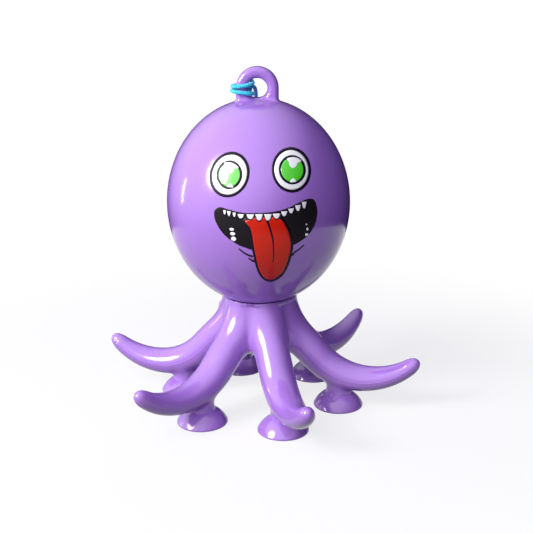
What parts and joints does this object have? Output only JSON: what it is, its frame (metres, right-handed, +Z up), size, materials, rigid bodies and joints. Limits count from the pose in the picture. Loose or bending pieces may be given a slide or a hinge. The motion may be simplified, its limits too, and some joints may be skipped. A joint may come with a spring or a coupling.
{
  "type": "suction cup octopus toy",
  "caption": "Soft octopus toy: a hollow ball head with a hanging eyelet that turns on a hub with curled legs, each standing on a suction cup.",
  "frame": {"origin": "on the surface that the suction cups stand on, under the middle of the head", "axes": "+Z up through the crown eyelet, -Y the way the face looks, +X to the right of a person who faces it"},
  "size_m": [0.0922, 0.0918, 0.0983],
  "materials": {
    "head_vinyl": "glossy soft vinyl, printed face",
    "soft_vinyl": "glossy soft vinyl",
    "cord": "fine braided cord"
  },
  "bodies": {
    "hub": {"neck_hub": "soft_vinyl"},
    "head": {"head_shell": "head_vinyl", "hanging_cord": "cord", "cord_knot": "cord"},
    "leg_1": {"leg_1": "soft_vinyl", "suction_cup_1": "soft_vinyl"},
    "leg_2": {"leg_2": "soft_vinyl", "suction_cup_2": "soft_vinyl"},
    "leg_3": {"leg_3": "soft_vinyl", "suction_cup_3": "soft_vinyl"},
    "leg_4": {"leg_4": "soft_vinyl", "suction_cup_4": "soft_vinyl"},
    "leg_5": {"leg_5": "soft_vinyl", "suction_cup_5": "soft_vinyl"},
    "leg_6": {"leg_6": "soft_vinyl", "suction_cup_6": "soft_vinyl"},
    "tip_1": {"leg_tip_1": "soft_vinyl"},
    "tip_2": {"leg_tip_2": "soft_vinyl"},
    "tip_3": {"leg_tip_3": "soft_vinyl"},
    "tip_4": {"leg_tip_4": "soft_vinyl"},
    "tip_5": {"leg_tip_5": "soft_vinyl"},
    "tip_6": {"leg_tip_6": "soft_vinyl"}
  },
  "joints": [
    {"name": "head_turn", "type": "hinge", "parent": "hub", "child": "head", "pos_m": [0, 0, 0.0332], "axis": [0, 0, 1], "continuous": true},
    {"name": "leg_1_flex", "type": "hinge", "parent": "hub", "child": "leg_1", "pos_m": [0.00309, -0.01108, 0.02059], "axis": [-0.9632, -0.2689, 0], "range_deg": [-10, 10], "stiffness_Nm_per_rad": 0.08},
    {"name": "leg_2_flex", "type": "hinge", "parent": "hub", "child": "leg_2", "pos_m": [0.01114, -0.00286, 0.02059], "axis": [-0.2487, -0.9686, 0], "range_deg": [-10, 10], "stiffness_Nm_per_rad": 0.08},
    {"name": "leg_3_flex", "type": "hinge", "parent": "hub", "child": "leg_3", "pos_m": [0.00805, 0.00822, 0.02059], "axis": [0.7145, -0.6997, 0], "range_deg": [-10, 10], "stiffness_Nm_per_rad": 0.08},
    {"name": "leg_4_flex", "type": "hinge", "parent": "hub", "child": "leg_4", "pos_m": [-0.00309, 0.01108, 0.02059], "axis": [0.9632, 0.2689, 0], "range_deg": [-10, 10], "stiffness_Nm_per_rad": 0.08},
    {"name": "leg_5_flex", "type": "hinge", "parent": "hub", "child": "leg_5", "pos_m": [-0.01114, 0.00286, 0.02059], "axis": [0.2487, 0.9686, 0], "range_deg": [-10, 10], "stiffness_Nm_per_rad": 0.08},
    {"name": "leg_6_flex", "type": "hinge", "parent": "hub", "child": "leg_6", "pos_m": [-0.00805, -0.00822, 0.02059], "axis": [-0.7145, 0.6997, 0], "range_deg": [-10, 10], "stiffness_Nm_per_rad": 0.08},
    {"name": "tip_1_curl", "type": "hinge", "parent": "leg_1", "child": "tip_1", "pos_m": [0.00834, -0.02986, 0.009], "axis": [-0.9632, -0.2689, 0], "range_deg": [-15, 20], "stiffness_Nm_per_rad": 0.03},
    {"name": "tip_2_curl", "type": "hinge", "parent": "leg_2", "child": "tip_2", "pos_m": [0.03003, -0.00771, 0.009], "axis": [-0.2487, -0.9686, 0], "range_deg": [-15, 20], "stiffness_Nm_per_rad": 0.03},
    {"name": "tip_3_curl", "type": "hinge", "parent": "leg_3", "child": "tip_3", "pos_m": [0.02169, 0.02215, 0.009], "axis": [0.7145, -0.6997, 0], "range_deg": [-15, 20], "stiffness_Nm_per_rad": 0.03},
    {"name": "tip_4_curl", "type": "hinge", "parent": "leg_4", "child": "tip_4", "pos_m": [-0.00834, 0.02986, 0.009], "axis": [0.9632, 0.2689, 0], "range_deg": [-15, 20], "stiffness_Nm_per_rad": 0.03},
    {"name": "tip_5_curl", "type": "hinge", "parent": "leg_5", "child": "tip_5", "pos_m": [-0.03003, 0.00771, 0.009], "axis": [0.2487, 0.9686, 0], "range_deg": [-15, 20], "stiffness_Nm_per_rad": 0.03},
    {"name": "tip_6_curl", "type": "hinge", "parent": "leg_6", "child": "tip_6", "pos_m": [-0.02169, -0.02215, 0.009], "axis": [-0.7145, 0.6997, 0], "range_deg": [-15, 20], "stiffness_Nm_per_rad": 0.03}
  ]
}
